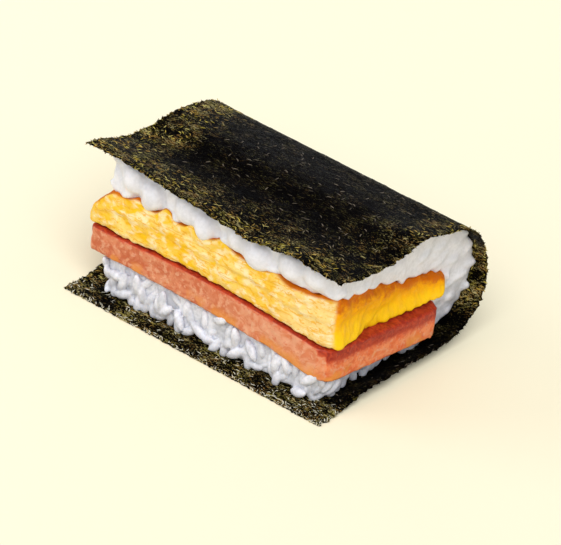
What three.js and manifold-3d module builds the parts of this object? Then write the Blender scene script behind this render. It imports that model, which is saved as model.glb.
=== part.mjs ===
// Folded onigiri: a half sheet of nori folded round a bed of rice, a slice of luncheon meat and a
// slab of omelette, open along the front. X runs along the fold, +Y points at the fold and +Z up.
// Every piece is a closed section in the YZ plane, swept along X and bent by a small function.
import * as THREE from "three";
import Module from "manifold-3d";

const wasm = await Module();
wasm.setup();

// ---- Driving dimensions, in millimetres ----
const GAP = 0.3; // between any two pieces

const SHEET_WIDTH = 105; // along the fold: half of a full 210 mm sheet
const SHEET_THICKNESS = 0.5;
const BOTTOM_FRONT = -39.3; // front edge of the bottom leaf
const TOP_FRONT = -35.5; // front edge of the top leaf
const FOLD_START = 22; // where the bottom leaf leaves the table
const FOLD_REAR = 41.8; // rearmost point of the fold
const FOLD_MIDDLE = 21; // height of that point
const FOLD_TOP = 46; // height where the fold becomes the top leaf
const TOP_LINE = [ // the top leaf's middle line from the fold to its front edge: y and height
  [12, 48.2],
  [2, 48.7],
  [-9, 47.6],
  [-22, 48],
  [TOP_FRONT, 48.6],
];
const FLAP_LIFT = 3.4; // the left corner of the free front flap lifts by this
const FLAP_DIP = { x: 12, by: 1.0, width: 8 }; // where the flap dips between clumps of rice
const FLAP_CLUMP = { x: 33, by: 1.1, width: 7 }; // where it rises over a clump
const RIDGE_RISE = 1.7; // rise of the top leaf over a thick ridge of rice at the right end
const LEFT_SINK = 1.2; // its sinking at the left end
const MARGIN_START = 43.5; // past this nothing holds the bottom leaf down, and its margin curls
const MARGIN_CURLS = [2.2, 3.6]; // off the table, by this at the left edge and at the right

const RICE_LENGTH = 91.5; // along the fold
const RICE_RIGHT = 0.8; // the bed lies this far to the right of the middle
const RICE_BOTTOM_FRONT = -31; // front of the lower bed
const RICE_TOP_FRONT = -29.5; // front of the upper bed
const RICE_FOOT_SHARE = 0.92; // length of the lower bed's foot over the bed's own length
const END_WAVE = 0.012; // share of a bed's half length by which its ends wave in and out
const GRAIN_LUMP = 0.6; // how far clumps of grains stand out of the bed's front
const BED_HOLLOW = 7; // the front is hollow at mid height, behind the faces of the two slabs

const MEAT_LENGTH = 99.5;
const MEAT_DEPTH = 55.5;
const MEAT_THICKNESS = 10.2;
const MEAT_FRONT = -32.4;
const MEAT_CORNERS = [2, 5]; // corner radii at the left end, where it was cut, and at the right
const MEAT_LEFT = -0.6; // the slice lies this far to the left of the middle
const MEAT_EDGE = 0.8; // rounding of the long edges
const MEAT_UNDERSIDE = 13.1; // height of its underside at the middle of the front edge
const MEAT_SLOPE_X = -0.03; // it lies a little lower to the right
const MEAT_SLOPE_Y = -0.06; // and to the rear
const MEAT_SAG = 1.5; // its ends hang lower than its middle by this
const MEAT_TAPER = 1.4; // it is thinner at the left end by this
const MEAT_CORNER_BACK = 2; // its right end runs askew: the front corner stays back by this
const MEAT_REAR_PROUD = 1.1; // and the rear stands out by this
const MEAT_CORNER_HEAVY = 1.2; // the front right corner hangs lower by this

const EGG_LENGTH = 98;
const EGG_DEPTH = 60;
const EGG_THICKNESS = 14.4;
const EGG_THINNING = 0.07; // thickness lost for each millimetre to the rear
const EGG_FRONT = -31.8;
const EGG_CORNERS = [3, 4]; // at the left end and at the right
const EGG_EDGE = 3.2; // the slab's long edges are folded and round
const EGG_LEFT = -4; // the slab lies this far to the left of the middle
const EGG_END_ROUND = 14; // its left end is a fold of this radius
const EGG_CORNER_PROUD = 2.4; // its right end: how far the front corner stands out,
const EGG_CREST = 3.6; // how much higher the slab is there,
const EGG_END_HOLLOW = 1.4; // how far the middle stays back
const EGG_REAR_PROUD = 4.5; // and how far the rear stands out, where it is also thinner
const EGG_REAR_LIFT = 1.8;
const EGG_REAR_DROP = 1.5;
const EGG_END_CLEAR = 4; // no rice lies in front of its right end for this far

const SHEET_STEPS = 18; // stretches along X
const BED_STEPS = 26;
const SLAB_STEPS = 16;
const SHEET_PIECES = 40; // round the fold
const SLAB_STRETCH = 9; // between points on a slab's broad faces

// ---- Small maths ----
const smooth = (from, to, v) => {
  const t = Math.min(1, Math.max(0, (v - from) / (to - from)));
  return t * t * (3 - 2 * t);
};
const bell = (u) => Math.exp(-u * u);
// Places from -1 to 1 along a sweep: evenly, or closer together towards both ends.
const even = (u) => u;
const crowd = (u) => (u * (3 - u * u)) / 2;

// ---- The bends of the two nori leaves ----
// The free front flap of the top leaf lifts to the left, dips once and rises over a clump of rice.
function flapLift(x) {
  const dip = FLAP_DIP.by * bell((x - FLAP_DIP.x) / FLAP_DIP.width);
  const clump = FLAP_CLUMP.by * bell((x - FLAP_CLUMP.x) / FLAP_CLUMP.width);
  return FLAP_LIFT * smooth(12, -46, x) - dip + clump;
}

// At its right end the top leaf lies over a thick ridge of rice, and at its left end it sinks.
function topLeafRise(x, y) {
  const ridge = RIDGE_RISE * smooth(30, 50, x) * bell((y - 3) / 8);
  const sink = -LEFT_SINK * smooth(-34, -52, x) * bell((y + 4) / 14);
  return flapLift(x) * smooth(-14, TOP_FRONT, y) + ridge + sink;
}

// The two side margins of the bottom leaf curl up, except along its front edge.
function bottomLeafRise(x, y) {
  const right = MARGIN_CURLS[1] * smooth(MARGIN_START, SHEET_WIDTH / 2, x);
  const left = MARGIN_CURLS[0] * smooth(-MARGIN_START, -SHEET_WIDTH / 2, x);
  return (right + left) * smooth(BOTTOM_FRONT + 5, -12, y);
}

// Moves a point with the leaf nearest to it; between the leaves the two bends fade out.
function withTheLeaves(p) {
  const top = smooth(26, 43, p.z);
  const bottom = 1 - smooth(1, 20, p.z);
  p.z += top * topLeafRise(p.x, p.y) + bottom * bottomLeafRise(p.x, p.y);
  return p;
}

// ---- Sections ----
// The sheet's middle line, from the bottom leaf's front edge round the fold to the top leaf's.
function sheetLine() {
  const line = new THREE.Path();
  const floor = SHEET_THICKNESS / 2;
  line.moveTo(BOTTOM_FRONT, floor);
  line.lineTo(FOLD_START, floor);
  line.bezierCurveTo(FOLD_START + 12, floor, FOLD_REAR, 8, FOLD_REAR, FOLD_MIDDLE);
  line.bezierCurveTo(FOLD_REAR, 32, 34, 43.5, 24, FOLD_TOP);
  line.splineThru(TOP_LINE.map(([y, z]) => new THREE.Vector2(y, z)));
  return line;
}

// Points of the middle line moved sideways by `offset`; a positive offset goes inside the fold.
function besideSheetLine(offset, pieces) {
  const points = sheetLine().getSpacedPoints(pieces);
  return points.map((p, i) => {
    const before = points[Math.max(0, i - 1)];
    const after = points[Math.min(points.length - 1, i + 1)];
    const along = after.clone().sub(before).normalize();
    return new THREE.Vector2(p.x - along.y * offset, p.y + along.x * offset);
  });
}

// The sheet's outline, down its outer face and back along its inner one.
function sheetSection(pieces) {
  const outside = besideSheetLine(-SHEET_THICKNESS / 2, pieces);
  const inside = besideSheetLine(SHEET_THICKNESS / 2, pieces).reverse();
  return [...outside, ...inside];
}

// Triangles across a sheet's outline, between each stretch of one face and that of the other.
function acrossSheet(pieces) {
  const last = 2 * pieces + 1;
  const triangles = [];
  for (let k = 0; k < pieces; k++) {
    triangles.push([k, k + 1, last - k], [k + 1, last - k - 1, last - k]);
  }
  return triangles;
}

// The rice bed before the slabs are taken out of it: all that is inside the nori, up to its front.
function bedSection() {
  const room = SHEET_THICKNESS / 2 + GAP + 0.1;
  const outline = besideSheetLine(room, 46).filter((p) =>
    p.y < FOLD_MIDDLE ? p.x > RICE_BOTTOM_FRONT + 1 : p.x > RICE_TOP_FRONT + 1,
  );
  const foot = new THREE.Vector2(RICE_BOTTOM_FRONT, SHEET_THICKNESS + 1.2);
  const brow = new THREE.Vector2(RICE_TOP_FRONT, outline[outline.length - 1].y - 1.4);
  const front = [0.25, 0.5, 0.75].map((t) => brow.clone().lerp(foot, t));
  front[1].x += BED_HOLLOW;
  return [...outline, brow, ...front, foot];
}

// A slab's section: a rectangle with round long edges and points along its broad faces.
function slabSection(front, depth, bottom, thickness, edge) {
  const rear = front + depth;
  const top = bottom + thickness;
  const shape = new THREE.Shape();
  shape.moveTo(front + edge, bottom);
  shape.lineTo(rear - edge, bottom);
  shape.absarc(rear - edge, bottom + edge, edge, -Math.PI / 2, 0, false);
  shape.absarc(rear - edge, top - edge, edge, 0, Math.PI / 2, false);
  shape.lineTo(front + edge, top);
  shape.absarc(front + edge, top - edge, edge, Math.PI / 2, Math.PI, false);
  shape.absarc(front + edge, bottom + edge, edge, Math.PI, (3 * Math.PI) / 2, false);
  const points = shape.getPoints(2);
  points.pop(); // the same as the first
  return points.flatMap((p, i) => {
    const next = points[(i + 1) % points.length];
    const pieces = Math.max(1, Math.round(p.distanceTo(next) / SLAB_STRETCH));
    return Array.from({ length: pieces }, (_, k) => p.clone().lerp(next, k / pieces));
  });
}

// ---- Solids ----
// An outline swept along X over `length`, each point then moved by `bend`. The outline runs
// counter-clockwise seen from +X, and `caps` are the triangles that fill it.
function sweep(outline, caps, length, steps, place, bend) {
  const count = outline.length;
  const points = [];
  const triangles = [];
  for (let i = 0; i <= steps; i++) {
    const x = (length / 2) * place((2 * i) / steps - 1);
    for (const p of outline) points.push(...bend(new THREE.Vector3(x, p.x, p.y)).toArray());
  }
  for (let i = 0; i < steps; i++) {
    for (let k = 0; k < count; k++) {
      const a = i * count + k;
      const b = i * count + ((k + 1) % count);
      triangles.push(a, b, b + count, a, b + count, a + count);
    }
  }
  const last = steps * count;
  for (const [a, b, c] of caps) triangles.push(a, c, b, last + a, last + b, last + c);
  const geometry = new THREE.BufferGeometry();
  geometry.setAttribute("position", new THREE.Float32BufferAttribute(points, 3));
  geometry.setIndex(triangles);
  return geometry;
}

const filled = (outline) => THREE.ShapeUtils.triangulateShape(outline, []);

function toSolid(geometry) {
  return new wasm.Manifold(
    new wasm.Mesh({
      numProp: 3,
      vertProperties: geometry.getAttribute("position").array,
      triVerts: new Uint32Array(geometry.index.array),
    }),
  );
}

function toGeometry(solid) {
  const mesh = solid.getMesh();
  const geometry = new THREE.BufferGeometry();
  const points = new Float32Array(mesh.numVert * 3);
  for (let i = 0; i < mesh.numVert; i++) {
    const from = i * mesh.numProp;
    points.set(mesh.vertProperties.subarray(from, from + 3), i * 3);
  }
  geometry.setAttribute("position", new THREE.BufferAttribute(points, 3));
  geometry.setIndex(new THREE.BufferAttribute(mesh.triVerts, 1));
  return geometry;
}

// How much of its half depth a slab keeps at x, so that its corners are round in plan.
function keptAtCorner(x, length, depth, corners) {
  const corner = corners[x < 0 ? 0 : 1];
  const into = Math.max(0, Math.abs(x) - (length / 2 - corner)) / corner;
  const lost = corner * (1 - Math.sqrt(Math.max(0, 1 - into * into)));
  return 1 - Math.min(lost, 0.8 * corner) / (depth / 2);
}

const meatUnderside = (x, y) =>
  MEAT_UNDERSIDE +
  MEAT_SLOPE_X * x +
  MEAT_SLOPE_Y * (y - MEAT_FRONT) -
  MEAT_SAG * ((2 * x) / MEAT_LENGTH) ** 2;

const meatThickness = (x) => MEAT_THICKNESS - MEAT_TAPER * smooth(0, -MEAT_LENGTH / 2, x);

// The slice of luncheon meat; `grow` makes the slightly larger solid that its bed is cut with.
function meat(grow = 0) {
  const length = MEAT_LENGTH + 2 * grow;
  const depth = MEAT_DEPTH + 2 * grow;
  const middle = MEAT_FRONT + MEAT_DEPTH / 2;
  const section = slabSection(
    MEAT_FRONT - grow, depth, -grow, MEAT_THICKNESS + 2 * grow, MEAT_EDGE,
  );
  return sweep(section, filled(section), length, SLAB_STEPS, crowd, (p) => {
    const share = (p.z + grow) / (MEAT_THICKNESS + 2 * grow);
    p.y = middle + (p.y - middle) * keptAtCorner(p.x, length, depth, MEAT_CORNERS);
    const toRight = smooth(20, 48, p.x);
    const corner = toRight * smooth(-8, -30, p.y);
    const rear = toRight * smooth(-4, 22, p.y);
    p.x += MEAT_LEFT;
    p.z += meatUnderside(p.x, p.y) + (meatThickness(p.x) - MEAT_THICKNESS) * share;
    p.z -= MEAT_CORNER_HEAVY * corner * (1 - share);
    p.x += MEAT_REAR_PROUD * rear - MEAT_CORNER_BACK * corner;
    return p;
  });
}

// The omelette: a folded slab with a round left end and a front right corner that stands proud.
function egg(grow = 0) {
  const length = EGG_LENGTH + 2 * grow;
  const depth = EGG_DEPTH + 2 * grow;
  const middle = EGG_FRONT + EGG_DEPTH / 2;
  const section = slabSection(
    EGG_FRONT - grow, depth, -grow, EGG_THICKNESS + 2 * grow, EGG_EDGE,
  );
  return sweep(section, filled(section), length, SLAB_STEPS, crowd, (p) => {
    const share = (p.z + grow) / (EGG_THICKNESS + 2 * grow);
    p.y = middle + (p.y - middle) * keptAtCorner(p.x, length, depth, EGG_CORNERS);
    const intoEnd = Math.max(0, EGG_END_ROUND - EGG_LENGTH / 2 - p.x) / EGG_END_ROUND;
    const roundLeftEnd = 1 - Math.sqrt(Math.max(0.08, 1 - intoEnd * intoEnd));
    const lower = EGG_THINNING * (p.y - EGG_FRONT) + EGG_THICKNESS * roundLeftEnd;
    const toRight = smooth(26, 48, p.x);
    const corner = toRight * smooth(-8, -28, p.y);
    const hollow = toRight * smooth(-20, -8, p.y);
    const rear = toRight * smooth(4, 27, p.y);
    const crest = smooth(34, 48, p.x) * smooth(8, -14, p.y);
    p.x += EGG_LEFT;
    const base = meatUnderside(p.x, p.y) + meatThickness(p.x) + GAP;
    p.z += base - lower * share + EGG_CREST * crest * share;
    p.z += rear * (EGG_REAR_LIFT * (1 - share) - EGG_REAR_DROP * share);
    p.x += EGG_CORNER_PROUD * corner - EGG_END_HOLLOW * hollow + EGG_REAR_PROUD * rear;
    return p;
  });
}

// The folded rice bed: everything inside the nori but the two slabs.
function rice() {
  const clumps = (x, z) => Math.sin(x * 0.62 + 1.3) + 0.7 * Math.sin(x * 1.05 + z * 0.3);
  const section = bedSection();
  const bed = sweep(section, filled(section), RICE_LENGTH, BED_STEPS, even, (p) => {
    const free = smooth(RICE_TOP_FRONT + 4, RICE_TOP_FRONT, p.y);
    const foot = 1 - (1 - RICE_FOOT_SHARE) * (1 - smooth(6, 18, p.z));
    p.y -= GRAIN_LUMP * clumps(p.x, p.z) * free;
    withTheLeaves(p);
    p.x *= foot + END_WAVE * Math.sin(p.y * 0.45 + p.z * 0.3);
    p.x += RICE_RIGHT;
    return p;
  });
  const eggRoom = toSolid(egg(GAP));
  const beyondEgg = eggRoom.translate([EGG_END_CLEAR, 0, 0]);
  const slabRoom = toSolid(meat(GAP)).add(eggRoom).add(beyondEgg);
  const bodies = toSolid(bed).subtract(slabRoom).decompose();
  bodies.sort((a, b) => b.volume() - a.volume()); // a crumb cut off between the slabs is left out
  return toGeometry(bodies[0]);
}

function nori() {
  const section = sheetSection(SHEET_PIECES);
  const caps = acrossSheet(SHEET_PIECES);
  return sweep(section, caps, SHEET_WIDTH, SHEET_STEPS, even, withTheLeaves);
}

// ---- Materials ----
const material = (color, roughness) =>
  new THREE.MeshStandardMaterial({ color, roughness, metalness: 0 });
const noriMaterial = material(0x23241a, 0.55);
const riceMaterial = material(0xe9e7e6, 0.5);
const meatMaterial = material(0xd9775a, 0.55);
const eggMaterial = material(0xf6c445, 0.5);

// ---- The model ----
const model = new THREE.Group();
function addPiece(name, geometry, look) {
  const mesh = new THREE.Mesh(geometry, look);
  mesh.name = name;
  model.add(mesh);
}
addPiece("nori_sheet", nori(), noriMaterial);
addPiece("rice_bed", rice(), riceMaterial);
addPiece("luncheon_meat", meat(), meatMaterial);
addPiece("omelette", egg(), eggMaterial);

// The origin is the middle of the box's underside, on the table.
const box = new THREE.Box3().setFromObject(model);
const centre = box.getCenter(new THREE.Vector3());
model.position.set(-centre.x, -centre.y, -box.min.z);

export default model;
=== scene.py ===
"""A folded onigiri: nori round a bed of rice, a slice of luncheon meat and a slab of omelette.
Lengths in the sections are millimetres, turned to metres by MM where a mesh is made."""

import math

import bmesh
import bpy
from mathutils import Matrix, Vector, noise
from mathutils.bvhtree import BVHTree


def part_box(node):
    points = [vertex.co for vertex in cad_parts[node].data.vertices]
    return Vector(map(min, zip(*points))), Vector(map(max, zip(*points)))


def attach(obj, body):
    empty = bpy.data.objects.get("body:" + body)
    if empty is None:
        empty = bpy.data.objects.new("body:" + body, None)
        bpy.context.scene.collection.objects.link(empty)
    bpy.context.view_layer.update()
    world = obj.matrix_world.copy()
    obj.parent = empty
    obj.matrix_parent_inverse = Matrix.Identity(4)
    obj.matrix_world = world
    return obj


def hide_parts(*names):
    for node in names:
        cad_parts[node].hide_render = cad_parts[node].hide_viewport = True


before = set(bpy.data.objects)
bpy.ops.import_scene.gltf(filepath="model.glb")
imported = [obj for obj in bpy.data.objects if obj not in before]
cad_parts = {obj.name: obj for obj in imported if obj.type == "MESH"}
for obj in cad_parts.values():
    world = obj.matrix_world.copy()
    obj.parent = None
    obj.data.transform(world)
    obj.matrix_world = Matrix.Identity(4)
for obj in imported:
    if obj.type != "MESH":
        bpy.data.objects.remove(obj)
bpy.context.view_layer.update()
MM = 0.001

# ---- Camera, light and floor ----
# A long lens looks down on the open front right corner, held a little off level. A broad soft
# light stands over the front left, and a cooler one behind the fold.
AZIMUTH, ELEVATION, ROLL = (math.radians(angle) for angle in (35.47, 30.81, 7.65))
DISTANCE = 1.4132
LENS, SENSOR = 288.05, 36
sheet_low, sheet_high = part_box("nori_sheet")
sheet_middle = (sheet_low[0] + sheet_high[0]) / 2
TARGET = Vector((sheet_middle + 0.00537, -0.00541, 0.01918))


def add_object(name, data):
    """An object of the scene that holds the data."""
    made = bpy.data.objects.new(name, data)
    bpy.context.scene.collection.objects.link(made)
    return made


back = Vector((
    math.sin(AZIMUTH) * math.cos(ELEVATION),
    -math.cos(AZIMUTH) * math.cos(ELEVATION),
    math.sin(ELEVATION),
))
level = Vector((math.cos(AZIMUTH), math.sin(AZIMUTH), 0))
upright = back.cross(level)
right = math.cos(ROLL) * level + math.sin(ROLL) * upright
up = math.cos(ROLL) * upright - math.sin(ROLL) * level
camera = add_object("camera", bpy.data.cameras.new("camera"))
camera.data.lens = LENS
camera.data.sensor_width = SENSOR
camera.data.clip_end = 20
camera.matrix_world = Matrix.Translation(TARGET + DISTANCE * back) @ Matrix(
    (right, up, back)
).transposed().to_4x4()
bpy.context.scene.camera = camera
bpy.context.scene.view_settings.view_transform = "Standard"

MIDDLE = Vector((0, 0, 0.025))  # of the object


def add_light(name, kind, place, colour, **settings):
    """A light at `place`, in metres, facing the middle of the object."""
    lamp = bpy.data.lights.new(name, kind)
    lamp.color = colour
    for key, value in settings.items():
        setattr(lamp, key, value)
    holder = add_object(name, lamp)
    holder.location = place
    aim = MIDDLE - Vector(place)
    holder.rotation_euler = aim.to_track_quat("-Z", "Y").to_euler()


SOFT_SUN = math.radians(50)  # as wide in the sky as a large softbox
add_light("key", "SUN", (0.58, -0.78, 1.12), (1.0, 0.985, 0.965), energy=2.3, angle=SOFT_SUN)
add_light("fill", "AREA", (-1.00, -0.60, 0.60), (0.98, 0.98, 1.0), energy=4.0, size=0.8)
add_light("edge", "AREA", (-0.75, 1.20, 0.14), (0.86, 0.92, 1.0), energy=2.0, size=0.3)

ROOM_COLOUR, ROOM_STRENGTH = (0.95, 0.97, 1.0, 1), 0.52
world = bpy.data.worlds.new("studio")
world.use_nodes = True
room = world.node_tree.nodes["Background"]
room.inputs["Color"].default_value = ROOM_COLOUR
room.inputs["Strength"].default_value = ROOM_STRENGTH
bpy.context.scene.world = world


class Socket:
    """One socket of a node tree. Sums, products and powers of sockets add Math nodes."""

    def __init__(self, tree, socket=None):
        self.tree, self.socket = tree, socket

    def node(self, kind, settings=None, values=None, out=0):
        """Adds a node, its settings first and then the values or links of its sockets."""
        made = self.tree.nodes.new(kind)
        for key, value in (settings or {}).items():
            setattr(made, key, value)
        for key, value in (values or {}).items():
            if isinstance(value, Socket):
                self.tree.links.new(value.socket, made.inputs[key])
            else:
                made.inputs[key].default_value = value
        return Socket(self.tree, made.outputs[out])

    def math(self, operation, *terms):
        sockets = dict(enumerate(terms))
        return self.node("ShaderNodeMath", {"operation": operation}, sockets)

    def __add__(self, other):
        return self.math("ADD", self, other)

    def __sub__(self, other):
        return self.math("SUBTRACT", self, other)

    def __mul__(self, other):
        return self.math("MULTIPLY", self, other)

    def __rsub__(self, other):
        return self.math("SUBTRACT", other, self)

    __radd__ = __add__
    __rmul__ = __mul__

    def most(self, other):
        return self.math("MAXIMUM", self, other)

    def ramp(self, start, end, low=0.0, high=1.0):
        """A smooth step: `low` up to `start`, `high` from `end` on."""
        values = {"Value": self, 1: start, 2: end, 3: low, 4: high}
        return self.node("ShaderNodeMapRange", {"interpolation_type": "SMOOTHSTEP"}, values)

    def colours(self, first, second):
        """The colour `first` where this socket is 0, and `second` where it is 1."""
        ends = [c if isinstance(c, Socket) else (*c, 1) for c in (first, second)]
        values = {0: self, 6: ends[0], 7: ends[1]}
        return self.node("ShaderNodeMix", {"data_type": "RGBA"}, values, out=2)

    def noise(self, size, stretch=(1, 1, 1), detail=3, warp=0.0, shift=0.0):
        """Noise from 0 to 1 with blotches of `size` millimetres; this socket is a place."""
        scale = tuple(1 / (size * s * MM) for s in stretch)
        place = self.node(
            "ShaderNodeMapping", values={"Vector": self, "Scale": scale, "Location": (shift,) * 3}
        )
        values = {"Vector": place, "Scale": 1.0, "Detail": detail, "Distortion": warp}
        return self.node("ShaderNodeTexNoise", values=values)


def new_material(name):
    """An empty material, and the socket to build its node tree from."""
    material = bpy.data.materials.new(name)
    material.use_nodes = True
    material.node_tree.nodes.clear()
    return material, Socket(material.node_tree)


def finish_material(start, constants, varying, bump=None, bump_depth=0.1):
    """Adds the shader with its constant and varying sockets, and the bump in millimetres."""
    values = {**constants, **varying}
    if bump:
        relief = {"Height": bump, "Distance": bump_depth * MM, "Strength": 1.0}
        values["Normal"] = start.node("ShaderNodeBump", values=relief)
    shader = start.node("ShaderNodeBsdfPrincipled", values=values)
    output = start.tree.nodes.new("ShaderNodeOutputMaterial")
    start.tree.links.new(shader.socket, output.inputs["Surface"])


FLOOR_SIDE = 6.0
FLOOR_COLOUR = (0.95, 0.885, 0.67, 1)
FLOOR_DROP = 0.05  # the floor lies this far below z = 0, so that it never touches the sheet
floor_material, start = new_material("floor_paper")
finish_material(
    start,
    {"Base Color": FLOOR_COLOUR, "Roughness": 0.9, "Specular IOR Level": 0.1},
    {},
)
half = FLOOR_SIDE / 2
floor_mesh = bpy.data.meshes.new("floor")
floor_mesh.from_pydata(
    [(-half, -half, 0), (half, -half, 0), (half, half, 0), (-half, half, 0)], [], [(0, 1, 2, 3)]
)
floor_mesh.transform(Matrix.Translation((0, 0, -FLOOR_DROP * MM)))
floor_mesh.materials.append(floor_material)
floor = add_object("floor", floor_mesh)


# ---- The nori sheet ----
# A half sheet of dried, toasted seaweed, 105 by 186 mm laid flat and a third of a millimetre
# thick, folded once round the filling. Its edges are cut, but fray and curl as it takes up
# moisture. x runs along the fold and v round it, from the bottom leaf's front edge.
SHEET_WIDTH = 105
SHEET_EDGE = SHEET_WIDTH / 2
SHEET_THICKNESS = 0.34
CAD_SHEET = 0.5  # thickness of the CAD sheet, whose middle line this one follows
LEAF_FRONT, FLAP_FRONT = -39.3, -35.5  # front edges of the bottom leaf and of the top one
FOLD_START, FOLD_REAR, FOLD_MIDDLE, FOLD_TOP = 22, 41.8, 21, 46
TOP_LINE = ((12, 48.2), (2, 48.7), (-9, 47.6), (-22, 48), (FLAP_FRONT, 48.6))
FLAP_LIFT = 3.4  # the flap's left corner lifts by this
FLAP_DIP, FLAP_CLUMP = 1.0, 1.1  # the flap dips at x = 12 and rises over a clump of rice at x = 33
RIDGE_RISE, LEFT_SINK = 1.7, 1.2  # the top leaf rises at its right end and sinks at its left
MARGIN_CURLS = (2.2, 3.6)  # the bottom leaf's left and right margins curl up by this
WAVE, PUCKER = 0.16, 0.07  # height of the sheet's broad and of its fine unevenness
TUFT, DENT = 0.05, 0.04  # height of the tufts on its faces, and the deepest dent between them
NOTCHES, FRAYED_TIPS = 0.5, 0.95  # depth of the broad and of the fine fray
FRAY_REACH = 3  # the fray fades out this far into the sheet
CORNER_PULL, CORNER_REACH = 1.8, 9  # the flap's right corner is drawn in, from this far off
RICE_END = 43.5  # past this the bottom leaf is free of rice
GRID = 0.7  # step of the mesh round the fold
COLUMNS = 150  # steps of the mesh along it
GRID_JITTER = 0.16  # loosens the mesh along x; noise_vector has no fixed seed, so runs differ
HOLE_AT = 0.44  # the weave is open where its chance is above this
TABLE_CLEAR = 0.01  # the sheet's underside stays at least this far above z = 0
TO_FRAME_X = sheet_middle / MM
TO_FRAME_Y = sheet_high[1] / MM - (FOLD_REAR + CAD_SHEET / 2)


def smooth(start, end, value):
    """A smooth step from 0 at `start` to 1 at `end`."""
    t = min(1, max(0, (value - start) / (end - start)))
    return t * t * (3 - 2 * t)


def bell(value):
    """A bell curve: 1 at 0, falling off to both sides."""
    return math.exp(-value * value)


def bezier(a, b, c, d, pieces):
    """Points of a Bezier curve, without its first."""
    for i in range(1, pieces + 1):
        t = i / pieces
        s = 1 - t
        yield tuple(
            s**3 * p + 3 * s * s * t * q + 3 * s * t * t * r + t**3 * u
            for p, q, r, u in zip(a, b, c, d)
        )


def curve_through(points, pieces):
    """A Catmull-Rom curve through the points, `pieces` to each stretch."""
    ends = [points[0], *points, points[-1]]
    for a, b, c, d in zip(ends, ends[1:], ends[2:], ends[3:]):
        for i in range(1, pieces + 1):
            t = i / pieces
            yield tuple(
                (2 * q - 2 * r + (r - p) / 2 + (u - q) / 2) * t**3
                + (3 * r - 3 * q - (r - p) - (u - q) / 2) * t * t
                + (r - p) / 2 * t
                + q
                for p, q, r, u in zip(a, b, c, d)
            )


def sheet_line(step):
    """Places (y, z) and outward normals along the sheet's middle line, a step apart."""
    base = CAD_SHEET / 2
    line = [(LEAF_FRONT, base), (FOLD_START, base)]
    line += bezier(line[-1], (FOLD_START + 12, base), (FOLD_REAR, 8), (FOLD_REAR, FOLD_MIDDLE), 60)
    line += bezier(line[-1], (FOLD_REAR, 32), (34, 43.5), (24, FOLD_TOP), 60)
    line += curve_through([line[-1], *TOP_LINE], 30)
    reach = [0]
    for a, b in zip(line, line[1:]):
        reach.append(reach[-1] + math.dist(a, b))
    count = round(reach[-1] / step)
    rows, k = [], 0
    for i in range(count + 1):
        want = min(reach[-1] * i / count, reach[-1] - 1e-9)
        while reach[k + 1] < want:
            k += 1
        share = (want - reach[k]) / (reach[k + 1] - reach[k])
        a, b = line[k], line[k + 1]
        rows.append((a[0] + (b[0] - a[0]) * share, a[1] + (b[1] - a[1]) * share))
    out = []
    for i, (y, z) in enumerate(rows):
        before, after = rows[max(0, i - 1)], rows[min(count, i + 1)]
        along = Vector((after[0] - before[0], after[1] - before[1])).normalized()
        out.append((y, z, along.y, -along.x))
    return out


def leaf_rise(x, y, z):
    """How far the two leaves lift or sink at a place: the flap lifts to the left and waves."""
    dip = FLAP_DIP * bell((x - 12) / 8)
    lift = FLAP_LIFT * smooth(12, -46, x) - dip + FLAP_CLUMP * bell((x - 33) / 7)
    ridge = RIDGE_RISE * smooth(30, 50, x) * bell((y - 3) / 8)
    sink = -LEFT_SINK * smooth(-34, -52, x) * bell((y + 4) / 14)
    top = lift * smooth(-14, FLAP_FRONT, y) + ridge + sink
    margins = MARGIN_CURLS[1] * smooth(RICE_END, SHEET_EDGE, x)
    margins += MARGIN_CURLS[0] * smooth(-RICE_END, -SHEET_EDGE, x)
    bottom = margins * smooth(LEAF_FRONT + 5, -12, y)
    return top * smooth(26, 43, z) + bottom * (1 - smooth(1, 20, z))


def crinkle(x, v):
    """Small waves of the sheet and the finer pucker of the dried seaweed."""
    wide = noise.noise(Vector((x / 9, v / 7, 3.1)))
    fine = noise.noise(Vector((x / 2.6, v / 1.7, 8.4)))
    return WAVE * wide + PUCKER * fine


def fray(along, side):
    """How far an edge is bitten in or stands out at a place along it."""
    broad = noise.noise(Vector((along / 6, side * 7.3, 1.7)))
    fine = noise.noise(Vector((along / 1.3, side * 3.9, 5.2)))
    return NOTCHES * broad + FRAYED_TIPS * fine


rows = sheet_line(GRID)
columns = [(-0.5 + i / COLUMNS) * SHEET_WIDTH for i in range(COLUMNS + 1)]
sheet_length = (len(rows) - 1) * GRID


def sheet_place(i, j):
    """Middle point and outward normal of the sheet at row i and column j, with its frayed edges."""
    y, z, ny, nz = rows[i]
    x, v = columns[j], i * GRID
    to_side = (SHEET_EDGE - abs(x)) / FRAY_REACH
    to_front = min(v, sheet_length - v) / FRAY_REACH
    side = math.copysign(1, x)
    x += side * fray(v, side) * max(0, 1 - to_side) ** 2
    edge = fray(x, 3 if v < sheet_length / 2 else 4) * max(0, 1 - to_front) ** 2
    y -= abs(edge) if v < sheet_length / 2 else edge
    jitter = noise.noise_vector(Vector((x * 1.9, v * 1.9, 0.5)))
    inner = min(1, to_side, to_front)
    tip = smooth(sheet_length - CORNER_REACH, sheet_length, v)
    x -= CORNER_PULL * (tip * smooth(SHEET_EDGE - CORNER_REACH, SHEET_EDGE, x))
    x += GRID_JITTER * jitter.x * inner
    wave = crinkle(x, v)
    lying = 1 - smooth(0.5, 3, z)
    out = wave * (1 - 0.9 * lying * (1 if abs(x) < RICE_END else 0.6))
    lift = leaf_rise(x, y, z)
    place = Vector((x + TO_FRAME_X, y + TO_FRAME_Y + ny * out, z + nz * out + lift))
    return place, Vector((0, ny, nz))


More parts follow.
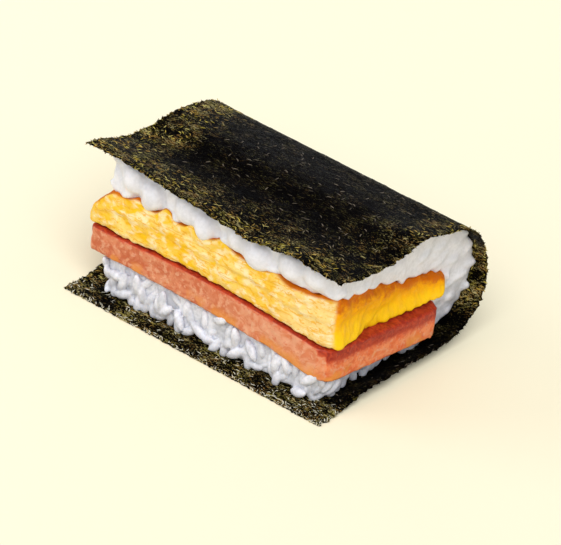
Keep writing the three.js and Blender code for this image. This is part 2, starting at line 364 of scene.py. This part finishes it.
def is_hole(x, v):
    """Whether the weave of the sheet is open here: mostly near its front right corners."""
    corner = smooth(20, 50, x) * smooth(26, 3, v) + 0.45 * smooth(14, 2, v)
    chance = noise.noise(Vector((x / 0.8, v / 0.6, 21.0)))
    return chance * (0.35 + corner) > HOLE_AT


def margin_at(x, v):
    """How near a place is to the sheet's pale and ragged parts, from 0 to 1, held at 0 where shade is
    painted.
    """
    mottle = 0.5 + 0.9 * noise.noise(Vector((x / 11, v / 9, 33)))
    # The pale parts are drier seaweed, paler still as painted light shining through the thin sheet.
    left = 0.9 * smooth(-26, -50, x)
    right_end = 0.45 * smooth(24, 50, x) * smooth(95, 125, v)
    flap = 0.7 * smooth(sheet_length - 24, sheet_length - 4, v)
    leaf = smooth(24, 5, v)
    bend = (0.8 + 0.3 * smooth(32, 48, x)) * smooth(74, 88, v) * smooth(116, 100, v)
    # Painted shade: the bottom leaf's right part, under the top leaf, is held at 0 and so stays dark.
    painted_shade = smooth(38, 46, x) * smooth(16, 26, v) * smooth(70, 58, v)
    most = max(left, right_end, flap, leaf, bend)
    return min(1, most * (0.55 + 0.75 * mottle)) * (1 - painted_shade)


# For each vertex: its margin, how thickly shreds cover it, how near the rim it is, and how strongly
# pale shreds are painted in as glints. The faces inside the fold carry shreds only past the ends and
# the fronts of the rice.
nori_points, nori_places, margins, cover, rim, glint_paint = [], [], [], [], [], []
for side in (1, -1):
    for i in range(len(rows)):
        v = i * GRID
        for j, x in enumerate(columns):
            place, normal = sheet_place(i, j)
            tuft = TUFT * noise.noise(Vector((x / 0.9, v / 0.5, side * 9.0)))
            offset = side * (SHEET_THICKNESS / 2 + max(-DENT, tuft))
            point = place + normal * offset
            inner_rise = 0.0 if side > 0 else SHEET_THICKNESS * 0.5
            point.z = max(point.z, TABLE_CLEAR + inner_rise)
            nori_points.append(point * MM)
            nori_places.append((x, v))
            margin = margin_at(x, v)
            margins.append(margin)
            bare = side > 0 or abs(x) > 43 or v < 11 or v > sheet_length - 6
            cover.append((0.3 + 0.7 * margin) if bare else 0)
            rim.append(smooth(1.2, 0.4, min(SHEET_EDGE - abs(x), v, sheet_length - v)))
            # Painted glints: pale shreds along the bottom leaf's front strip, stronger towards the
            # right.
            glint_paint.append(smooth(0, 42, x) * smooth(24, 4, v) + 0.75 * smooth(18, 4, v))

wide = len(columns)
layer = len(rows) * wide
nori_faces = []
kept = {}
for i in range(len(rows) - 1):
    for j in range(wide - 1):
        inside = 3 <= i < len(rows) - 4 and 3 <= j < wide - 4
        kept[i, j] = not (inside and is_hole(columns[j], i * GRID))
pinched = True
while pinched:  # holes that meet at a corner only are closed, so that every edge has two faces
    pinched = False
    for i, j in kept:
        block = ((i, j), (i + 1, j + 1), (i + 1, j), (i, j + 1))
        a, b, c, d = (kept.get(cell, True) for cell in block)
        if a == b and c == d and a != c:
            kept.update(dict.fromkeys(block, True))
            pinched = True
for (i, j), there in kept.items():
    if not there:
        continue
    a, b = i * wide + j, i * wide + j + 1
    c, d = b + wide, a + wide
    nori_faces += [(a, b, c, d), (a + layer, d + layer, c + layer, b + layer)]
    for di, dj, p, q in ((-1, 0, a, b), (0, 1, b, c), (1, 0, c, d), (0, -1, d, a)):
        if not kept.get((i + di, j + dj), False):
            nori_faces.append((p, p + layer, q + layer, q))


def add_piece(name, mesh, material):
    """A smooth-shaded object at the origin that holds the mesh and rides with the whole."""
    mesh.materials.clear()
    mesh.materials.append(material)
    mesh.shade_smooth()
    piece = add_object(name, mesh)
    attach(piece, "root")
    return piece


def add_numbers(mesh, name, numbers):
    """A number at each vertex, which the material reads by this name."""
    layer = mesh.attributes.new(name, "FLOAT", "POINT")
    layer.data.foreach_set("value", numbers)


nori_mesh = bpy.data.meshes.new("nori")
nori_mesh.from_pydata(nori_points, [], nori_faces)
add_numbers(nori_mesh, "along", [x * MM for x, _ in nori_places])
add_numbers(nori_mesh, "round", [v * MM for _, v in nori_places])
add_numbers(nori_mesh, "margin", margins)
add_numbers(nori_mesh, "cover", cover)
add_numbers(nori_mesh, "rim", rim)
add_numbers(nori_mesh, "glint_paint", glint_paint)
clean = bmesh.new()
clean.from_mesh(nori_mesh)
loose = [v for v in clean.verts if not v.link_faces]
bmesh.ops.delete(clean, geom=loose, context="VERTS")
bmesh.ops.recalc_face_normals(clean, faces=clean.faces)
clean.to_mesh(nori_mesh)
clean.free()

nori_material, start = new_material("toasted_nori")
along = start.node("ShaderNodeAttribute", {"attribute_name": "along"}, out=2)
around = start.node("ShaderNodeAttribute", {"attribute_name": "round"}, out=2)
sheet = start.node("ShaderNodeCombineXYZ", values={0: along, 1: around})
margin = start.node("ShaderNodeAttribute", {"attribute_name": "margin"}, out=2)
dashes = sheet.noise(1.25, (1.7, 0.75, 1), detail=1, warp=2.2)
threads = sheet.noise(0.9, (2.2, 0.75, 1), detail=1, warp=2.0, shift=7.0)
blotches = sheet.noise(6, (1.4, 1, 1), detail=3, shift=3.0)
tints = sheet.noise(5, detail=2, shift=11.0)
fleck = (dashes + margin * 0.05 + blotches * 0.4).ramp(0.82, 0.88)
pale = (threads + margin * 0.06 + blotches * 0.35).ramp(0.84, 0.90)
olive = tints.ramp(0.42, 0.60).colours((0.27, 0.155, 0.042), (0.22, 0.185, 0.036))
# Margin pales the ground and adds flecks: drier seaweed, with painted light shining through the thin
# sheet; held at 0 as painted shade under the top leaf.
ground = (blotches * 0.6 + margin * 0.4).ramp(0.4, 0.75).colours(
    (0.0014, 0.0011, 0.0011), (0.0032, 0.0024, 0.0010))
flecked = (fleck * (margin * 0.85 + 0.10)).colours(ground, olive)
threaded = (pale * (margin * 0.8 + 0.15)).colours(flecked, (0.42, 0.36, 0.16))
crown = around.ramp(0.101, 0.108) * around.ramp(0.118, 0.110) * dashes.ramp(0.40, 0.58)
finish_material(
    start,
    {"IOR": 1.35, "Specular IOR Level": 0.008, "Coat Roughness": 0.32, "Coat IOR": 1.35},
    {
        "Base Color": threaded, "Roughness": dashes.ramp(0.35, 0.65, 0.58, 0.34),
        "Coat Weight": crown * 0.4,
    },
    bump=dashes + threads * 0.5,
    bump_depth=0.3,
)
nori = add_piece("nori_sheet_folded", nori_mesh, nori_material)
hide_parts("nori_sheet")


def object_from(name, shape):
    """A plain object from a bmesh, which is freed."""
    mesh = bpy.data.meshes.new(name)
    shape.to_mesh(mesh)
    shape.free()
    return add_object(name, mesh)


def shred_template():
    """One shred of seaweed along Z: flat across Y, pointed at both ends and a little bent."""
    shred = bmesh.new()
    tips = [shred.verts.new(Vector((x, 0, z)) * MM) for x, z in ((-0.15, -0.9), (-0.05, 0.9))]
    rings = []
    for z, bend in ((-0.4, 0.06), (0.4, 0.10)):
        corners = [math.radians(angle) for angle in (90, 210, 330)]
        places = [(bend + 0.17 * math.cos(a), 0.07 * math.sin(a), z) for a in corners]
        rings.append([shred.verts.new(Vector(place) * MM) for place in places])
    first, second = rings
    for k in range(3):
        n = (k + 1) % 3
        shred.faces.new((tips[0], first[n], first[k]))
        shred.faces.new((first[k], first[n], second[n], second[k]))
        shred.faces.new((tips[1], second[k], second[n]))
    return object_from("shred", shred)


def take_result(made):
    """The mesh that an object's modifiers give; the object itself is removed."""
    seen = made.evaluated_get(bpy.context.evaluated_depsgraph_get())
    mesh = bpy.data.meshes.new_from_object(seen)
    bpy.data.objects.remove(made)
    return mesh


def scatter_tree(pivot):
    """Geometry nodes that lay a shape on the points of a surface, headed as they are told.

    With the pivot Y the shapes stay flat on the surface. A surface that has a "cover" attribute
    is thinned out by it, and each shape gets a random "tint".
    """
    tree = bpy.data.node_groups.new("scatter", "GeometryNodeTree")
    inputs = (
        ("Surface", "NodeSocketGeometry"), ("Shape", "NodeSocketObject"),
        ("Spacing", "NodeSocketFloat"), ("Direction", "NodeSocketVector"),
        ("Spread", "NodeSocketFloat"), ("Sunk", "NodeSocketFloat"), ("Proud", "NodeSocketFloat"),
        ("Smallest", "NodeSocketFloat"), ("Largest", "NodeSocketFloat"),
        ("Finish", "NodeSocketMaterial"), ("Seed", "NodeSocketInt"),
    )
    for name, kind in inputs:
        tree.interface.new_socket(name, in_out="INPUT", socket_type=kind)
    tree.interface.new_socket("Result", in_out="OUTPUT", socket_type="NodeSocketGeometry")
    entry = tree.nodes.new("NodeGroupInput")
    given = {name: Socket(tree, entry.outputs[name]) for name, _ in inputs}
    base = Socket(tree)
    random = "FunctionNodeRandomValue"
    cover = base.node("GeometryNodeInputNamedAttribute", {"data_type": "FLOAT"}, {0: "cover"})
    exists = Socket(tree, cover.socket.node.outputs["Exists"])
    points = base.node(
        "GeometryNodeDistributePointsOnFaces",
        {"distribute_method": "POISSON"},
        {"Mesh": given["Surface"], "Distance Min": given["Spacing"], "Density Max": 4e6,
         "Density Factor": cover + (1 - exists), "Seed": given["Seed"]},
    )
    normal = Socket(tree, points.socket.node.outputs["Normal"])
    stray = base.node(
        random,
        {"data_type": "FLOAT_VECTOR"},
        {0: (-1, -1, -1), 1: (1, 1, 1), "Seed": given["Seed"]},
    )
    strayed = base.node(
        "ShaderNodeVectorMath", {"operation": "SCALE"}, {0: stray, 3: given["Spread"]}
    )
    heading = base.node("ShaderNodeVectorMath", values={0: given["Direction"], 1: strayed})
    flat = base.node(
        "FunctionNodeAlignRotationToVector", {"axis": "Y"}, {"Vector": normal}
    )
    turned = base.node(
        "FunctionNodeAlignRotationToVector",
        {"axis": "Z", "pivot_axis": pivot},
        {"Rotation": flat, "Vector": heading},
    )
    depth = base.node(
        random, {"data_type": "FLOAT"},
        {2: given["Sunk"], 3: given["Proud"], "Seed": given["Seed"]}, out=1,
    )
    shift = base.node("ShaderNodeVectorMath", {"operation": "SCALE"}, {0: normal, 3: depth})
    placed = base.node("GeometryNodeSetPosition", values={"Geometry": points, "Offset": shift})
    shape = base.node("GeometryNodeObjectInfo", values={"Object": given["Shape"]}, out=4)
    size = base.node(
        random, {"data_type": "FLOAT"},
        {2: given["Smallest"], 3: given["Largest"], "Seed": given["Seed"]}, out=1,
    )
    stood = base.node(
        "GeometryNodeInstanceOnPoints",
        values={"Points": placed, "Instance": shape, "Rotation": turned, "Scale": size},
    )
    tint = base.node(random, {"data_type": "FLOAT"}, {"Seed": given["Seed"]}, out=1)
    tinted = base.node(
        "GeometryNodeStoreNamedAttribute",
        {"data_type": "FLOAT", "domain": "INSTANCE"},
        {"Geometry": stood, "Name": "tint", "Value": tint},
    )
    real = base.node("GeometryNodeRealizeInstances", values={"Geometry": tinted})
    done = base.node(
        "GeometryNodeSetMaterial", values={"Geometry": real, "Material": given["Finish"]}
    )
    tree.links.new(done.socket, tree.nodes.new("NodeGroupOutput").inputs["Result"])
    return tree


def scatter(tree, surface, values):
    """The plain mesh that the tree makes on the surface, an object that is used up."""
    modifier = surface.modifiers.new("scatter", "NODES")
    modifier.node_group = tree
    for item in tree.interface.items_tree:
        if item.in_out == "INPUT" and item.name in values:
            modifier[item.identifier] = values[item.name]
    return take_result(surface)


def lift_off_table(mesh, size):
    """Lifts each shape, a run of `size` vertices, that dips below the table."""
    for first in range(0, len(mesh.vertices), size):
        shape = mesh.vertices[first:first + size]
        dip = min(0, *(v.co.z for v in shape))
        for v in shape:
            v.co.z -= dip


shred_material, start = new_material("seaweed_shreds")
place = start.node("ShaderNodeTexCoord", out=3)
tint = start.node("ShaderNodeAttribute", {"attribute_name": "tint"}, out=2)
margin = start.node("ShaderNodeAttribute", {"attribute_name": "margin"}, out=2)
glint_paint = start.node("ShaderNodeAttribute", {"attribute_name": "glint_paint"}, out=2)
browned = place.noise(9, detail=2, shift=21.0).ramp(0.42, 0.58)
# Shreds are paler where margin is high: drier seaweed, with painted light shining through the thin
# sheet; dark as painted shade where margin is held at 0.
middle_shred = tint.ramp(0.76, 1.0).colours((0.001, 0.001, 0.001), (0.20, 0.165, 0.125))
green_shred = tint.ramp(0.62, 0.96).colours((0.002, 0.0015, 0.0005), (0.64, 0.50, 0.07))
brown_shred = tint.ramp(0.62, 0.96).colours((0.003, 0.0015, 0.0005), (0.62, 0.36, 0.08))
margin_shred = (browned * 0.85).colours(green_shred, brown_shred)
yellow_shred = tint.ramp(0.90, 0.97).colours(margin_shred, (0.62, 0.54, 0.16))
# Pale shreds, with more painted in as glints along the bottom leaf's front strip.
pale_and_glint_shred = (tint * 0.7 + glint_paint * 0.66).ramp(0.88, 0.96).colours(yellow_shred, (0.74, 0.71, 0.58))
finish_material(
    start,
    {"IOR": 1.35, "Specular IOR Level": 0.02, "Roughness": 0.4},
    {"Base Color": margin.ramp(0.15, 0.7).colours(middle_shred, pale_and_glint_shred)},
)
flat_tree = scatter_tree("Y")
shred = shred_template()
sheet_surface = add_object("sheet_surface", nori_mesh.copy())
shreds_mesh = scatter(flat_tree, sheet_surface, {
    "Shape": shred, "Spacing": 0.92 * MM, "Direction": (1, 0, 0), "Spread": 1.3,
    "Sunk": -0.06 * MM, "Proud": 0.05 * MM, "Smallest": 0.45, "Largest": 1.1,
    "Finish": shred_material, "Seed": 7,
})
shred_size = len(shred.data.vertices)
lift_off_table(shreds_mesh, shred_size)
shreds = add_piece("nori_shreds", shreds_mesh, shred_material)

rim_surface = add_object("rim_surface", nori_mesh.copy())
rim_surface.data.attributes["cover"].data.foreach_set("value", [
    number.value for number in rim_surface.data.attributes["rim"].data
])
rim_mesh = scatter(scatter_tree("AUTO"), rim_surface, {
    "Shape": shred, "Spacing": 0.5 * MM, "Direction": (0, 0, 0), "Spread": 1.0,
    "Sunk": -0.05 * MM, "Proud": 0.08 * MM, "Smallest": 0.45, "Largest": 0.95,
    "Finish": shred_material, "Seed": 19,
})
lift_off_table(rim_mesh, shred_size)
bpy.data.objects.remove(shred)
rim_shreds = add_piece("nori_rim_shreds", rim_mesh, shred_material)


# ---- The rice bed ----
# Cooked short-grain rice, pressed by hand into one sticky mass. Above the slabs and in the fold
# its grains have merged; the lower bed's rim is loose, and its grains hang down one by one.
GRAIN_LENGTH, GRAIN_WIDTH, GRAIN_THICKNESS = 6.6, 2.6, 2.2
GRAIN_BEND = 0.25
LOOSE_TOP = 15.5  # height up to which the bed's rim is loose
GRAIN_TOP = 14.6  # a loose grain reaches no higher, so that none stands before the meat
# Lobes of the upper bed that hang over the omelette's edge: place, lowest point, half width.
LOBES = (
    (-36, 39.0, 4.5), (-28, 36.4, 4.0), (-14, 37.8, 5.0), (-6.5, 35.2, 3.8), (7, 37.6, 4.0),
    (15, 34.8, 5.5), (28, 37.2, 5.0), (38, 38.4, 5.0),
)
LOBE_FRONT, LOBE_HEIGHT, LOBE_DEPTH = -31.3, 10, 3.1


def merged_copy(node):
    """The mesh of a CAD node with its loose triangles joined, as a bmesh."""
    copy = bmesh.new()
    copy.from_mesh(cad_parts[node].data)
    bmesh.ops.remove_doubles(copy, verts=copy.verts, dist=1e-6)
    return copy


def grain_template(around, rings):
    """One grain along Z: plump, a little flat, bent and drawn in at its germ end."""
    grain = bmesh.new()
    bmesh.ops.create_uvsphere(grain, u_segments=around, v_segments=rings, radius=0.5)
    for v in grain.verts:
        along = v.co.z * 2
        plump = 1 + 0.16 * (1 - along * along) - 0.10 * max(0, along) ** 2
        v.co.x = v.co.x * GRAIN_WIDTH * plump * MM + GRAIN_BEND * (1 - along * along) * MM
        v.co.y *= GRAIN_THICKNESS * plump * MM
        v.co.z *= GRAIN_LENGTH * MM
    return object_from("grain", grain)


def open_faces(name, wanted):
    """The faces of the CAD rice bed that nothing covers and that `wanted` picks by their middle."""
    faces = merged_copy("rice_bed")
    covered = []
    for face in faces.faces:
        middle = face.calc_center_median() / MM
        bare = abs(face.normal.x) > 0.6 or face.normal.y < -0.6
        if not (bare and wanted(middle)):
            covered.append(face)
    bmesh.ops.delete(faces, geom=covered, context="FACES")
    return object_from(name, faces)


def is_loose(middle):
    """Whether the bed's face with this middle belongs to its loose rim."""
    return middle.z < LOOSE_TOP and middle.y < 19


rice_material, start = new_material("cooked_rice")
place = start.node("ShaderNodeTexCoord", out=3)
cloud = place.noise(5, detail=3)
speck = place.noise(1.1, detail=2, shift=4.0)
starch = (cloud * 0.6 + speck * 0.4).ramp(0.35, 0.65)
warm = starch.colours((0.65, 0.65, 0.70), (0.76, 0.76, 0.82))
# Painted shade under the meat: the rice is painted darker and bluer up to 14 mm, fading out by 30 mm.
painted_shade_rice = starch.colours((0.53, 0.54, 0.59), (0.76, 0.765, 0.83))
height = start.node("ShaderNodeSeparateXYZ", values={"Vector": place}, out=2)
rice_colour = height.ramp(0.014, 0.03).colours(painted_shade_rice, warm)
finish_material(
    start,
    {
        "Subsurface Weight": 0.5, "Subsurface Radius": (1.0, 0.85, 0.75), "Subsurface Scale": 1.6 * MM,
        "IOR": 1.42, "Coat Weight": 0.12, "Coat Roughness": 0.25,
    },
    {"Base Color": rice_colour, "Roughness": speck.ramp(0.3, 0.7, 0.52, 0.38)},
    bump=place.noise(0.8, detail=2, shift=2.0),
    bump_depth=0.06,
)

pressed_grain = grain_template(8, 6)
pressed = scatter(flat_tree, open_faces("pressed_rice", lambda middle: not is_loose(middle)), {
    "Shape": pressed_grain, "Spacing": 2.6 * MM, "Direction": (0.8, 0.8, 0.2), "Spread": 0.8,
    "Sunk": -1.8 * MM, "Proud": -0.4 * MM, "Smallest": 0.9, "Largest": 1.3, "Finish": rice_material,
    "Seed": 4,
})
bpy.data.objects.remove(pressed_grain)


def fused(made, voxel, steps):
    """The mesh of an object remeshed evenly, then settled; the object itself is removed."""
    remesh = made.modifiers.new("fuse", "REMESH")
    remesh.mode, remesh.voxel_size = "VOXEL", voxel * MM
    settle = made.modifiers.new("settle", "SMOOTH")
    settle.factor, settle.iterations = 0.5, steps
    return take_result(made)


bed = merged_copy("rice_bed")
bed.from_mesh(pressed)
for x, foot, width in LOBES:
    shape = Matrix.Translation(Vector((x, LOBE_FRONT, foot + LOBE_HEIGHT / 2)) * MM)
    shape = shape @ Matrix.Diagonal((width * MM, LOBE_DEPTH * MM, LOBE_HEIGHT * MM / 2, 1))
    bmesh.ops.create_icosphere(bed, subdivisions=3, radius=1, matrix=shape)
bed_mesh = fused(object_from("rice_bed", bed), voxel=0.67, steps=9)

coarse_rows, coarse_columns = range(0, len(rows), 3), range(0, wide, 3)
across = len(coarse_columns)
nori_tree = BVHTree.FromPolygons(
    [sheet_place(i, j)[0] for i in coarse_rows for j in coarse_columns],
    [
        (k, k + across, k + across + 1, k + 1)
        for k in range((len(coarse_rows) - 1) * across)
        if (k + 1) % across
    ],
)
NORI_REACH = 4  # rice further from the sheet than this is left alone


def keep_within_nori(mesh, gap):
    """Presses back every vertex that comes nearer the sheet's middle than `gap`."""
    for v in mesh.vertices:
        point = v.co / MM
        near, normal, _, distance = nori_tree.find_nearest(point)
        if normal is None:
            continue
        into = (point - near).dot(normal)
        if distance < NORI_REACH and into > -gap:
            v.co -= normal * (into + gap) * MM


keep_within_nori(bed_mesh, 0.3)
bed_piece = add_piece("rice_pressed", bed_mesh, rice_material)
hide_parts("rice_bed")


def drop_bubbles(mesh, fewest):
    """Removes the shells of fewer than `fewest` vertices that are closed in between grains."""
    shells = bmesh.new()
    shells.from_mesh(mesh)
    bubbles = []
    for first in shells.verts:
        if first.tag:
            continue
        first.tag = True
        shell = [first]
        for v in shell:
            near = [edge.other_vert(v) for edge in v.link_edges]
            fresh = [other for other in near if not other.tag]
            for other in fresh:
                other.tag = True
            shell += fresh
        if len(shell) < fewest:
            bubbles += shell
    bmesh.ops.delete(shells, geom=bubbles, context="VERTS")
    shells.to_mesh(mesh)
    shells.free()


def leave_out_tall(mesh, size):
    """Removes each grain, a run of `size` vertices, that reaches above the loose grains' top."""
    grains = bmesh.new()
    grains.from_mesh(mesh)
    grains.verts.ensure_lookup_table()
    tall = []
    for first in range(0, len(grains.verts), size):
        grain = grains.verts[first:first + size]
        if max(v.co.z for v in grain) > GRAIN_TOP * MM:
            tall += grain
    bmesh.ops.delete(grains, geom=tall, context="VERTS")
    grains.to_mesh(mesh)
    grains.free()


loose_grain = grain_template(10, 8)
loose_mesh = scatter(flat_tree, open_faces("loose_rice", is_loose), {
    "Shape": loose_grain, "Spacing": 2.9 * MM, "Direction": (-0.2, 0, -1.0), "Spread": 0.9,
    "Sunk": -1.2 * MM, "Proud": 1.1 * MM, "Smallest": 0.85, "Largest": 1.2,
    "Finish": rice_material, "Seed": 11,
})
leave_out_tall(loose_mesh, len(loose_grain.data.vertices))
bpy.data.objects.remove(loose_grain)
loose_mesh = fused(add_object("loose", loose_mesh), voxel=0.33, steps=2)
drop_bubbles(loose_mesh, fewest=100)
keep_within_nori(loose_mesh, 0.25)
loose_piece = add_piece("rice_loose_grains", loose_mesh, rice_material)


# ---- The luncheon meat ----
# A slice of canned luncheon meat, fried: its two broad faces are browned dark red, and its cut
# sides stay salmon pink, mottled with paler fat and browned where they touched the pan.
MEAT_LUMPS, MEAT_GRAIN = 0.28, 0.14  # height of its broad and of its fine unevenness
CRISP_RIM = 0.35  # the browned edge of its top stands out by this at most
INSET_X, INSET_Y = 6, 4  # past a slab's rounded rim, where its thickness is taken


def heights(node, mesh):
    """For each vertex, its share of the slab's thickness there, from 0 to 1."""
    source = merged_copy(node)
    faces = BVHTree.FromBMesh(source)
    source.free()
    low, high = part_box(node)
    shares = []
    for v in mesh.vertices:
        x = min(max(v.co.x, low[0] + INSET_X * MM), high[0] - INSET_X * MM)
        y = min(max(v.co.y, low[1] + INSET_Y * MM), high[1] - INSET_Y * MM)
        top = faces.ray_cast(Vector((x, y, 1)), Vector((0, 0, -1)))[0]
        base = faces.ray_cast(Vector((x, y, -1)), Vector((0, 0, 1)))[0]
        if top is None or base is None:
            shares.append(0.5)
            continue
        shares.append((v.co.z - base.z) / (top.z - base.z))
    return shares


meat_slab = object_from("meat_slab", merged_copy("luncheon_meat"))
meat_mesh = fused(meat_slab, voxel=0.6, steps=2)
meat_shares = heights("luncheon_meat", meat_mesh)
normals = [v.normal.copy() for v in meat_mesh.vertices]
for v, share, normal in zip(meat_mesh.vertices, meat_shares, normals):
    place = v.co / MM
    lumps = MEAT_LUMPS * noise.noise(place / 4.5) + MEAT_GRAIN * noise.noise(place / 1.5)
    rim = smooth(0.8, 1.0, share) * max(0, noise.noise(Vector((place.x / 2.2, place.y / 2.2, 7))))
    v.co += normal * (lumps + CRISP_RIM * rim) * MM
add_numbers(meat_mesh, "share", meat_shares)
add_numbers(meat_mesh, "upward", [abs(n.z) for n in normals])
add_numbers(meat_mesh, "endward", [smooth(0.25, 0.8, abs(n.x)) for n in normals])

meat_material, start = new_material("fried_luncheon_meat")
place = start.node("ShaderNodeTexCoord", out=3)
share = start.node("ShaderNodeAttribute", {"attribute_name": "share"}, out=2)
upward = start.node("ShaderNodeAttribute", {"attribute_name": "upward"}, out=2)
endward = start.node("ShaderNodeAttribute", {"attribute_name": "endward"}, out=2)
mottle = place.noise(4.2, (1.2, 1, 1), detail=4, warp=1.2)
fat = place.noise(1.5, detail=3, shift=5.0)
speckle = place.noise(1.3, (1.3, 1, 1), detail=3, warp=1.0, shift=9.0)
scorch = place.noise(8, detail=2, shift=13.0)
length = start.node("ShaderNodeSeparateXYZ", values={"Vector": place}, out=0)
left_side = mottle.ramp(0.38, 0.62).colours((0.49, 0.115, 0.045), (0.60, 0.215, 0.105))
right_side = mottle.ramp(0.38, 0.62).colours((0.60, 0.190, 0.085), (0.68, 0.310, 0.180))
cut_side = length.ramp(-0.020, 0.035).colours(left_side, right_side)
end_side = mottle.ramp(0.38, 0.62).colours((0.66, 0.130, 0.035), (0.74, 0.235, 0.090))
pink = endward.colours(cut_side, end_side)
fatty = (fat.ramp(0.5, 0.68) * 0.65).colours(pink, (0.68, 0.36, 0.22))
dotted = (speckle.ramp(0.58, 0.7) * 0.5).colours(fatty, (0.52, 0.09, 0.04))
low_scorch = share.ramp(0.55, 0.1) * scorch.ramp(0.50, 0.60)
orange = (low_scorch * 0.8).colours(dotted, (0.68, 0.25, 0.04))
browning = share + endward * 0.42 + speckle * 0.28 + scorch * 0.2 + mottle * 0.1
redder = (browning.ramp(1.16, 1.40) * 0.9).colours(orange, (0.52, 0.060, 0.018))
crust = speckle.ramp(0.35, 0.7).colours((0.27, 0.018, 0.007), (0.47, 0.050, 0.014))
edge = (browning - 0.1).ramp(1.20, 1.34).most(upward.ramp(0.45, 0.85))
fried = edge.colours(redder, crust)
finish_material(
    start,
    {
        "Subsurface Weight": 0.2, "Subsurface Radius": (1.0, 0.35, 0.2), "Subsurface Scale": 1.2 * MM,
        "IOR": 1.4, "Specular IOR Level": 0.3, "Coat Weight": 0.05, "Coat Roughness": 0.3,
    },
    {"Base Color": fried, "Roughness": fat.ramp(0.3, 0.7, 0.55, 0.42)},
    bump=fat * 0.7 + speckle * 0.5,
    bump_depth=0.2,
)
meat = add_piece("luncheon_meat_slice", meat_mesh, meat_material)
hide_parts("luncheon_meat")


# ---- The omelette ----
# Beaten egg fried in thin layers, folded over itself and cut to a slab. Its skin is smooth and
# deep yellow, browned orange along the top; the cut front shows the pale curd and its layers.
CURD, FINE_CURD = 0.75, 0.4  # height of the cut front's unevenness
SKIN, FINE_SKIN = 0.6, 0.45
LAYER_DEPTH = 0.3
TORN_RISE = 1.9  # the right end's top edge is torn up by this at most
HEM_OUT, HEM_FORWARD, HEM_DROP = 0.8, 0.5, 0.9  # the lower edge spreads and droops on the meat
# Peaks of browned skin along the front's top edge: place, height, half width.
PEAKS = (
    (-43, 1.0, 3), (-33, 1.6, 3), (-21.5, 3.2, 2.6), (-11, 2.4, 2.2), (1.5, 2.6, 3.5), (23, 1.6, 3),
)
egg_slab = object_from("egg_slab", merged_copy("omelette"))
egg_mesh = fused(egg_slab, voxel=0.65, steps=26)
egg_shares = heights("omelette", egg_mesh)
normals = [v.normal.copy() for v in egg_mesh.vertices]
cut = []
for v, share, normal in zip(egg_mesh.vertices, egg_shares, normals):
    place = v.co / MM
    front = smooth(-0.45, -0.8, normal.y)
    cut.append(front)
    curd = CURD * noise.noise(place / 5) + FINE_CURD * noise.noise(place / 1.9)
    folds = math.sin(share * 22 + 2.6 * noise.noise(Vector((place.x / 14, place.z / 9, 2))))
    layers = LAYER_DEPTH * folds * smooth(0.35, 0.6, share)
    skin = SKIN * noise.noise(place / 5) + FINE_SKIN * noise.noise(place / 2.0)
    peak = max(height * bell((place.x - x) / width) for x, height, width in PEAKS)
    torn = max(0, noise.noise(Vector((place.y / 2.4, 0.0, 3.0)))) * smooth(38, 43, place.x)
    peak *= smooth(-26, -31, place.y) * smooth(0.55, 0.95, share)
    v.co.z += (peak + TORN_RISE * torn * smooth(0.82, 1.0, share)) * MM
    v.co += normal * (front * (curd + layers) + (1 - front) * skin) * MM
    hem = smooth(0.42, 0.05, share) * max(front, smooth(0.3, 0.8, normal.x))
    spread = (HEM_OUT * hem * max(0, normal.x), -HEM_FORWARD * hem * front, -HEM_DROP * hem)
    v.co += Vector(spread) * MM
add_numbers(egg_mesh, "share", egg_shares)
add_numbers(egg_mesh, "cut", cut)

egg_material, start = new_material("fried_omelette")
place = start.node("ShaderNodeTexCoord", out=3)
share = start.node("ShaderNodeAttribute", {"attribute_name": "share"}, out=2)
cut_face = start.node("ShaderNodeAttribute", {"attribute_name": "cut"}, out=2)
marble = place.noise(5.5, (1.4, 1, 0.9), detail=4, warp=0.7)
curds = place.noise(3.0, (1.3, 1, 0.9), detail=3, warp=0.3, shift=5.0)
streaks = place.noise(1.3, (7, 3, 0.5), detail=3, warp=0.5, shift=8.0)
patches = place.noise(9, (1.6, 1, 0.8), detail=2, shift=12.0)
length = start.node("ShaderNodeSeparateXYZ", values={"Vector": place}, out=0)
specks = place.noise(1.2, (1.5, 1, 0.8), detail=2, warp=0.8, shift=17.0)
cream = marble.ramp(0.38, 0.60).colours((0.80, 0.49, 0.018), (0.82, 0.59, 0.17))
rich = (patches.ramp(0.44, 0.60) * 0.65).colours(cream, (0.80, 0.45, 0.008))
pale_end = (length.ramp(0.016, 0.040) * 0.7).colours(rich, (0.83, 0.62, 0.28))
curdled = (curds.ramp(0.46, 0.64) * 0.8).colours(pale_end, (0.84, 0.70, 0.42))
speckled = (specks.ramp(0.54, 0.66) * 0.75).colours(curdled, (0.76, 0.36, 0.010))
lined = (streaks.ramp(0.55, 0.66) * 0.6).colours(speckled, (0.72, 0.35, 0.010))
top_brown = (share + marble * 0.3).ramp(1.10, 1.20)
cut_colour = (top_brown * 0.85).colours(lined, (0.72, 0.22, 0.01))
skin_low = (share + curds * 0.5).ramp(0.35, 0.95).colours((0.95, 0.57, 0.008), (0.85, 0.36, 0.001))
skin_pale = (curds.ramp(0.50, 0.70) * 0.3).colours(skin_low, (0.90, 0.60, 0.05))
skin_top = (share + patches * 0.35 + curds * 0.4 + specks * 0.3).ramp(1.12, 1.42).colours(
    skin_pale, (0.56, 0.13, 0.003))
egg_colour = cut_face.colours(skin_top, cut_colour)
finish_material(
    start,
    {
        "Subsurface Weight": 0.15, "Subsurface Radius": (1.0, 0.6, 0.2), "Subsurface Scale": 1.0 * MM,
        "IOR": 1.4, "Specular IOR Level": 0.08, "Coat Weight": 0.01, "Coat Roughness": 0.3,
    },
    {"Base Color": egg_colour, "Roughness": curds.ramp(0.3, 0.7, 0.55, 0.4)},
    bump=curds * 0.8 + streaks * cut_face * 0.5 + specks * 0.3,
    bump_depth=0.4,
)
egg = add_piece("omelette_slab", egg_mesh, egg_material)
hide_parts("omelette")
